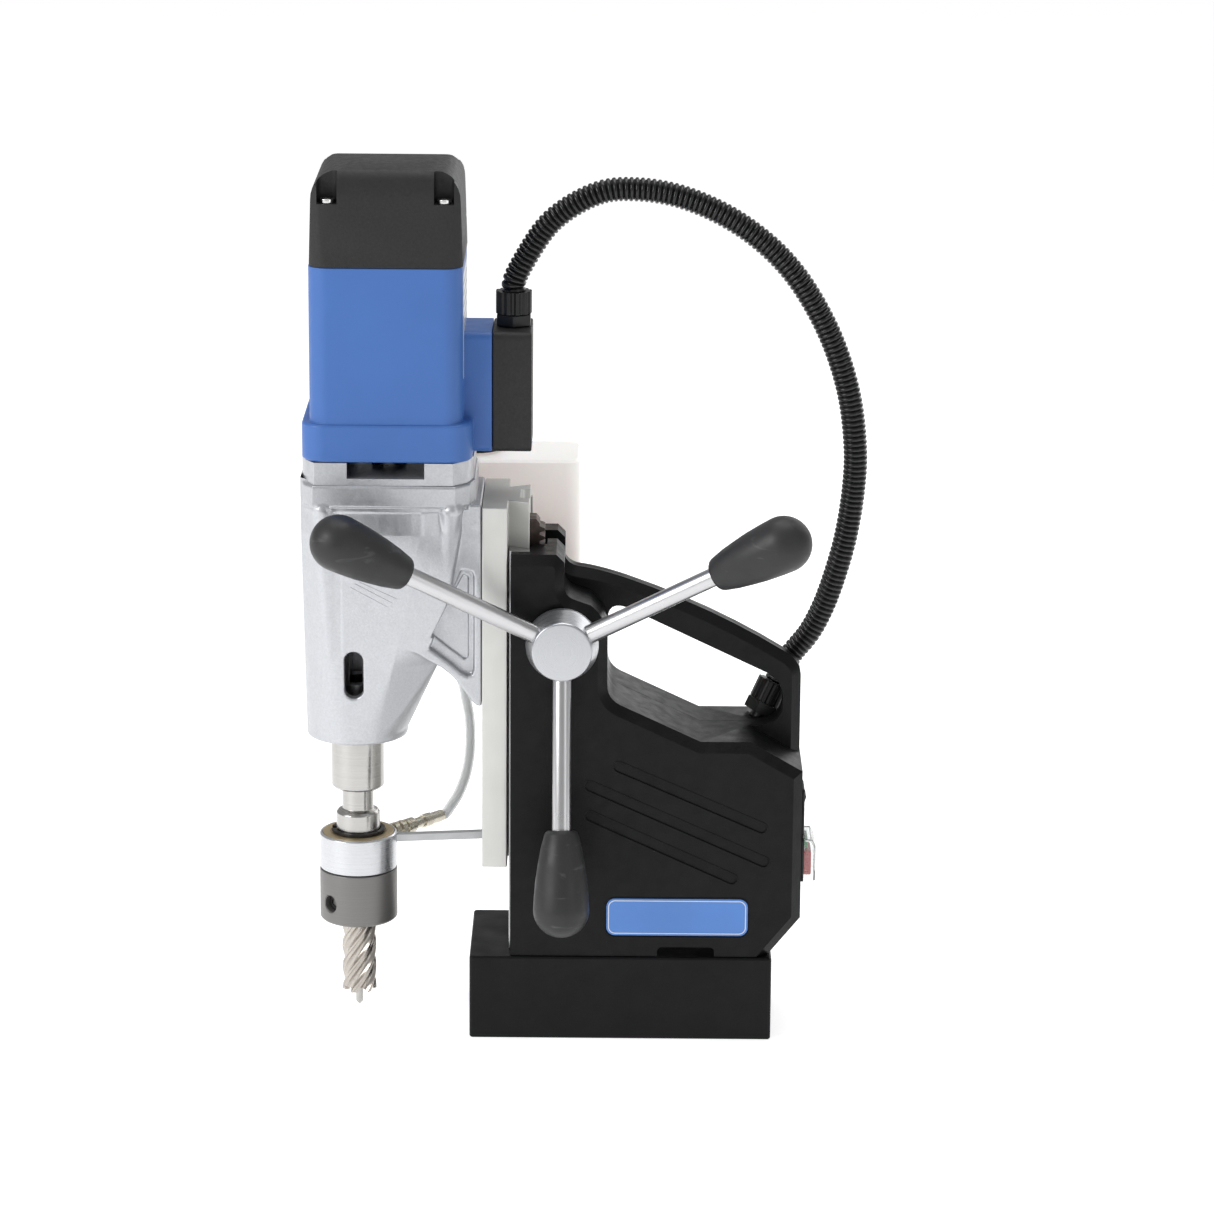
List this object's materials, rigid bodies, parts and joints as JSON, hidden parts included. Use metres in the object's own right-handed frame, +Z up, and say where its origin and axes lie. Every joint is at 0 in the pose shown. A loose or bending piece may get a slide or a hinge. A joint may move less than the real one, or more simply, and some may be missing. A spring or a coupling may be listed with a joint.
{
  "type": "magnetic drill press",
  "caption": "Magnet-base core drill with a capstan feed, a geared vertical motor, a coolant tank and a corrugated cable conduit.",
  "frame": {"origin": "centre of the underside of the magnet base", "axes": "+Z up, +X towards the switches at the back of the machine (the drill is at -X), +Y away from the feed capstan"},
  "size_m": [0.3043, 0.1994, 0.4794],
  "materials": {
    "black_paint": "fine satin black paint on steel",
    "satin_black_casting": "satin black textured paint on a casting",
    "copper_winding": "enamelled copper winding",
    "resin": "cast potting resin",
    "bright_steel": "ground bright steel",
    "machined_steel": "machined steel",
    "dark_steel": "blackened steel",
    "rack_steel": "hardened dark steel",
    "bronze": "sintered bronze",
    "seal_bronze": "bronze seal, dull",
    "circuit_board": "green circuit board",
    "blue_label": "printed blue label with a pale border",
    "black_plastic": "satin black polyamide",
    "charcoal_plastic": "fine textured charcoal plastic",
    "blue_plastic": "satin blue moulded plastic",
    "grip_plastic": "satin black grip",
    "red_plastic": "glossy red",
    "green_plastic": "glossy green",
    "clear_plastic": "clear flexible plastic",
    "cast_silver": "fine cast texture, silver",
    "plate_aluminium": "satin milled plate",
    "turned_aluminium": "turned, bright satin",
    "nickel_brass": "nickel-plated brass",
    "clear_hose": "clear flexible hose",
    "tank_plastic": "translucent white plastic"
  },
  "bodies": {
    "frame": {"magnet_base": "black_paint", "magnet_coil": "copper_winding", "magnet_potting": "resin", "housing_near": "satin_black_casting", "housing_far": "satin_black_casting", "guide_rail_near": "bright_steel", "guide_rail_far": "bright_steel", "shaft_bush_near": "bronze", "shaft_bush_far": "bronze", "control_board": "circuit_board", "nameplate": "blue_label", "magnet_switch_bezel": "black_plastic", "motor_switch_box": "black_plastic", "switch_hood": "clear_plastic", "lower_gland_body": "black_plastic", "lower_gland_nut": "black_plastic", "mains_gland": "black_plastic", "conduit": "black_plastic"},
    "carriage": {"carriage": "plate_aluminium", "feed_rack": "rack_steel", "gearbox_casting": "cast_silver", "gearbox_cover": "cast_silver", "spindle_bearing": "machined_steel", "motor_bearing": "machined_steel", "motor_housing": "blue_plastic", "motor_cap": "charcoal_plastic", "stator": "machined_steel", "terminal_cover": "charcoal_plastic", "upper_gland_body": "black_plastic", "upper_gland_nut": "black_plastic", "stop_rod": "dark_steel", "cooling_ring": "turned_aluminium", "ring_seal": "seal_bronze", "hose_coupling": "nickel_brass", "coolant_hose": "clear_hose", "coolant_tank": "tank_plastic", "tank_bracket": "plate_aluminium"},
    "tank_cap": {"tank_cap": "black_plastic"},
    "coolant_tap": {"coolant_tap": "nickel_brass"},
    "armature": {"armature": "machined_steel", "cooling_fan": "black_plastic"},
    "countershaft": {"countershaft": "machined_steel"},
    "spindle": {"spindle": "bright_steel", "arbor_holder": "dark_steel", "retaining_ring": "dark_steel", "set_screw_1": "dark_steel", "set_screw_2": "dark_steel", "annular_cutter": "machined_steel"},
    "pilot_pin": {"pilot_pin": "machined_steel"},
    "feed": {"feed_shaft": "machined_steel", "feed_hub": "turned_aluminium", "feed_arm_1": "bright_steel", "feed_arm_2": "bright_steel", "feed_arm_3": "bright_steel", "feed_grip_1": "grip_plastic", "feed_grip_2": "grip_plastic", "feed_grip_3": "grip_plastic"},
    "magnet_rocker": {"magnet_rocker": "black_plastic"},
    "stop_button": {"stop_button": "red_plastic"},
    "start_button": {"start_button": "green_plastic"}
  },
  "joints": [
    {"name": "feed_capstan", "type": "hinge", "parent": "frame", "child": "feed", "pos_m": [-0.0325, 0, 0.225], "axis": [0, 1, 0], "range_deg": [-239.3, 534.7]},
    {"name": "carriage_slide", "type": "slide", "parent": "frame", "child": "carriage", "axis": [0, 0, 1], "range_m": [-0.047, 0.105], "deforming": ["conduit"]},
    {"name": "armature_spin", "type": "hinge", "parent": "carriage", "child": "armature", "pos_m": [-0.1268, 0, 0.36], "axis": [0, 0, 1], "continuous": true},
    {"name": "countershaft_spin", "type": "hinge", "parent": "carriage", "child": "countershaft", "pos_m": [-0.13091, 0.01957, 0.28], "axis": [0, 0, 1], "continuous": true},
    {"name": "spindle_spin", "type": "hinge", "parent": "carriage", "child": "spindle", "pos_m": [-0.1448, 0, 0.2], "axis": [0, 0, 1], "continuous": true},
    {"name": "pilot_slide", "type": "slide", "parent": "spindle", "child": "pilot_pin", "axis": [0, 0, 1], "range_m": [0, 0.03], "stiffness_N_per_m": 150, "springref_m": -0.01},
    {"name": "magnet_rocker_tilt", "type": "hinge", "parent": "frame", "child": "magnet_rocker", "pos_m": [0.0958, -0.014, 0.1255], "axis": [0, 1, 0], "range_deg": [-14, 0]},
    {"name": "stop_button_press", "type": "slide", "parent": "frame", "child": "stop_button", "axis": [-1, 0, 0], "range_m": [0, 0.0025], "stiffness_N_per_m": 400, "springref_m": -0.002},
    {"name": "start_button_press", "type": "slide", "parent": "frame", "child": "start_button", "axis": [-1, 0, 0], "range_m": [0, 0.0025], "stiffness_N_per_m": 400, "springref_m": -0.002},
    {"name": "tank_cap_lift", "type": "slide", "parent": "carriage", "child": "tank_cap", "axis": [0, 0, 1], "range_m": [0, 0.025]},
    {"name": "coolant_tap_turn", "type": "hinge", "parent": "carriage", "child": "coolant_tap", "pos_m": [-0.09, 0.071, 0.188], "axis": [0, 1, 0], "range_deg": [0, 90]}
  ],
  "couplings": [
    {"joint": "carriage_slide", "follows": "feed_capstan", "m_per_rad": 0.01125},
    {"joint": "countershaft_spin", "follows": "armature_spin", "ratio": -0.29032},
    {"joint": "spindle_spin", "follows": "armature_spin", "ratio": 0.076401}
  ]
}
